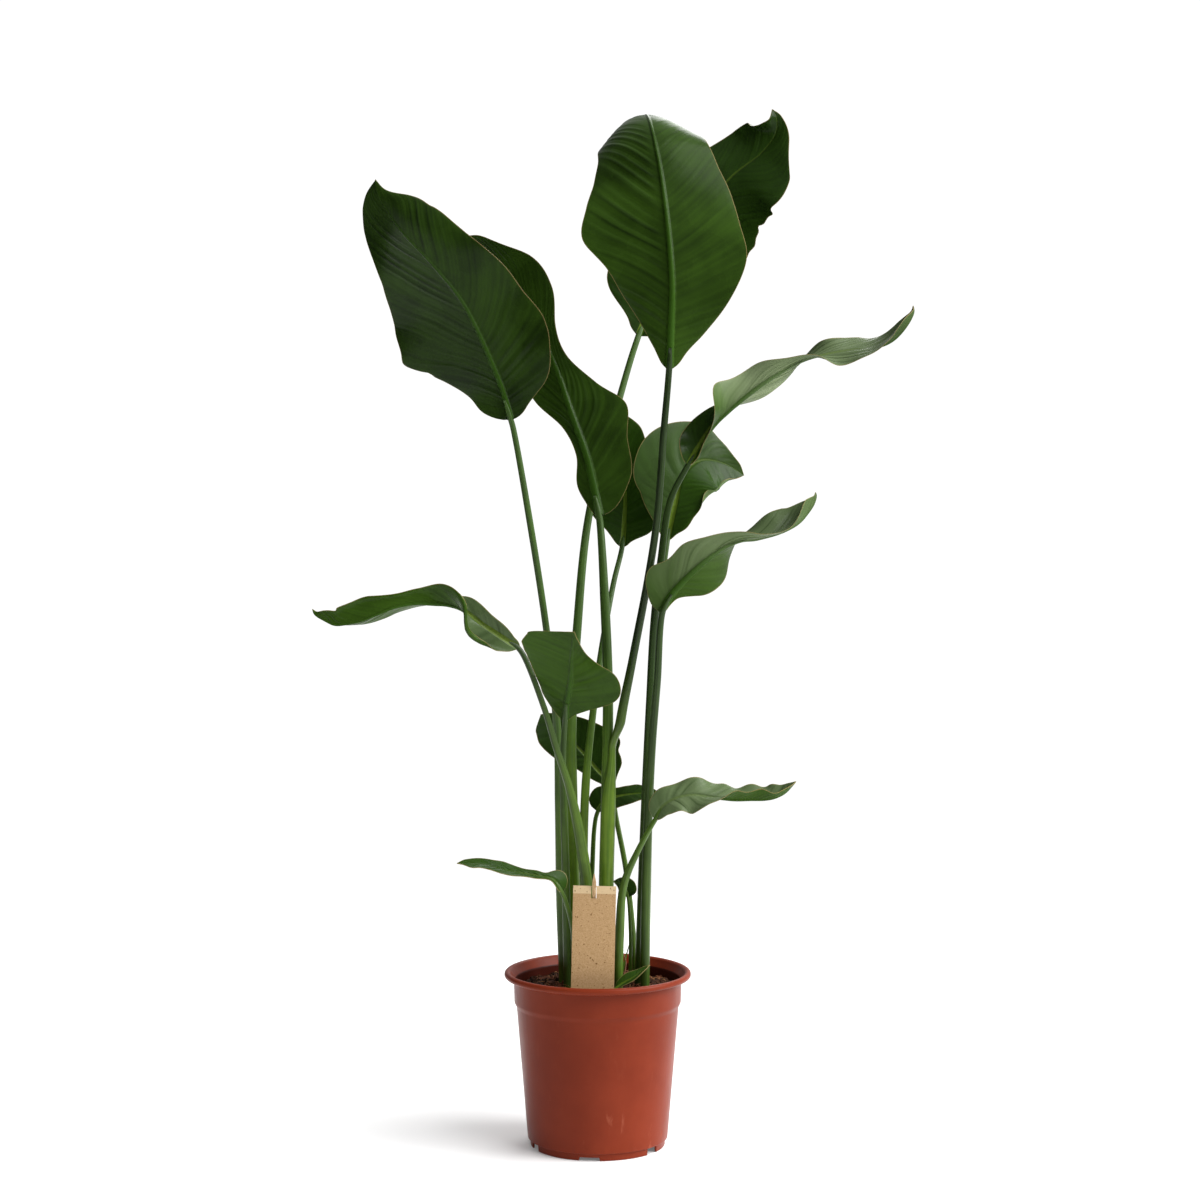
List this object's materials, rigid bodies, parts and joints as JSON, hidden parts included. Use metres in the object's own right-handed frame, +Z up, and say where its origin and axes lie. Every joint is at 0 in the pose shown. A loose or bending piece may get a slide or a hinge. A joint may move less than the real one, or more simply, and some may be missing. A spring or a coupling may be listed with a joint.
{
  "type": "potted bird of paradise plant",
  "caption": "Tall potted bird of paradise: broad paddle leaves on long upright stems, rooted in soil in a tapered nursery pot with a card tag on a stick.",
  "frame": {"origin": "Centre of the pot's base, on the surface it stands on: the middle of the flat pad under the pot's floor.", "axes": "+Z up along the plant; -Y faces the picture's camera, +X is the picture's right."},
  "size_m": [0.7547, 0.3159, 1.3397],
  "materials": {
    "pot": "satin terracotta-coloured polypropylene",
    "soil": "dark damp peat with coir fibre",
    "leaf": "smooth waxy living leaf",
    "card": "plain kraft card, no print",
    "stick": "bare wood"
  },
  "bodies": {
    "root": {"pot": "pot", "soil": "soil", "leaf_01": "leaf", "leaf_02": "leaf", "leaf_03": "leaf", "leaf_04": "leaf", "leaf_05": "leaf", "leaf_06": "leaf", "leaf_07": "leaf", "leaf_08": "leaf", "leaf_09": "leaf", "leaf_10": "leaf", "leaf_11": "leaf", "leaf_12": "leaf", "leaf_13": "leaf", "leaf_14": "leaf", "leaf_15": "leaf", "leaf_16": "leaf", "shoot_spike": "leaf", "tag_card": "card", "tag_stick": "stick"}
  },
  "joints": []
}
